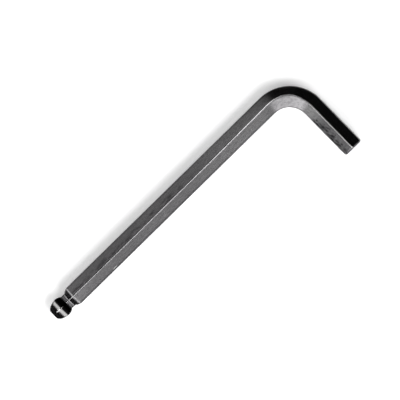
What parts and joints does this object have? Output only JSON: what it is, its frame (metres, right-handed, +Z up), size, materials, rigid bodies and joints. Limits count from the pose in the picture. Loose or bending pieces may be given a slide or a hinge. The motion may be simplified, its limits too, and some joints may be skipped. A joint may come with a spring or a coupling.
{
  "type": "hex key",
  "caption": "L-shaped key bent from hexagonal steel bar, with a plain short end and a hexagonal ball on its long end, for turning hexagon socket screws.",
  "frame": {"origin": "middle of the key's outline, on the surface it lies on", "axes": "+X along the long arm from the ball end to the bend, -Y along the short arm to its tip, +Z up from the surface"},
  "size_m": [0.1924, 0.057, 0.0136],
  "materials": {
    "steel": "dark satin steel, lightly worn"
  },
  "bodies": {
    "root": {"hex_key": "steel"}
  },
  "joints": []
}
